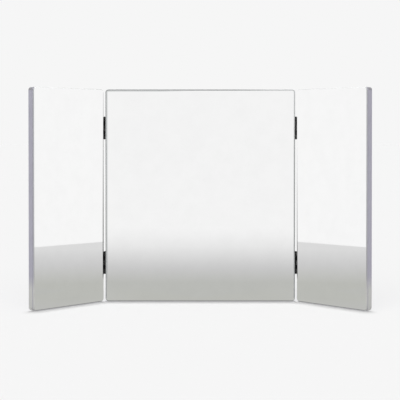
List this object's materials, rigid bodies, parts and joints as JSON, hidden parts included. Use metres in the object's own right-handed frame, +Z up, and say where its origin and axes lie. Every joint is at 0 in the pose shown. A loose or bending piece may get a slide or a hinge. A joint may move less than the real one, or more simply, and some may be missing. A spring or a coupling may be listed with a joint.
{
  "type": "dressing table mirror",
  "caption": "Folding dressing table mirror: a centre panel with a wing hinged on each side, each a mirror glass taped to a slim lacquered board, standing on its lower edge.",
  "frame": {"origin": "middle of the standing mirror's width and depth, on the surface that it stands on", "axes": "+X to the viewer's right along the centre panel, +Y away from the viewer, square to the centre panel's glass, +Z up"},
  "size_m": [0.7372, 0.1816, 0.4812],
  "materials": {
    "mirror_glass": "silvered float glass with a polished edge",
    "lacquered_board": "fibreboard, satin violet-grey lacquer",
    "foam_tape": "closed-cell foam mounting tape",
    "hinge_black": "black powder-coated steel",
    "screw_black": "black oxide steel",
    "clear_pad": "clear soft vinyl"
  },
  "bodies": {
    "centre_panel": {"centre_board": "lacquered_board", "centre_tape": "foam_tape", "centre_glass": "mirror_glass", "centre_feet": "clear_pad", "left_lower_centre_leaf": "hinge_black", "left_lower_pin": "hinge_black", "left_lower_centre_screws": "screw_black", "left_upper_centre_leaf": "hinge_black", "left_upper_pin": "hinge_black", "left_upper_centre_screws": "screw_black", "right_lower_centre_leaf": "hinge_black", "right_lower_pin": "hinge_black", "right_lower_centre_screws": "screw_black", "right_upper_centre_leaf": "hinge_black", "right_upper_pin": "hinge_black", "right_upper_centre_screws": "screw_black"},
    "left_wing": {"left_board": "lacquered_board", "left_tape": "foam_tape", "left_glass": "mirror_glass", "left_feet": "clear_pad", "left_lower_wing_leaf": "hinge_black", "left_lower_wing_screws": "screw_black", "left_upper_wing_leaf": "hinge_black", "left_upper_wing_screws": "screw_black"},
    "right_wing": {"right_board": "lacquered_board", "right_tape": "foam_tape", "right_glass": "mirror_glass", "right_feet": "clear_pad", "right_lower_wing_leaf": "hinge_black", "right_lower_wing_screws": "screw_black", "right_upper_wing_leaf": "hinge_black", "right_upper_wing_screws": "screw_black"}
  },
  "joints": [
    {"name": "left_wing_fold", "type": "hinge", "parent": "centre_panel", "child": "left_wing", "pos_m": [-0.2167, 0.07316, 0.2412], "axis": [0, 0, 1], "range_deg": [-50, 130]},
    {"name": "right_wing_fold", "type": "hinge", "parent": "centre_panel", "child": "right_wing", "pos_m": [0.2167, 0.07316, 0.2412], "axis": [0, 0, -1], "range_deg": [-50, 130]}
  ]
}
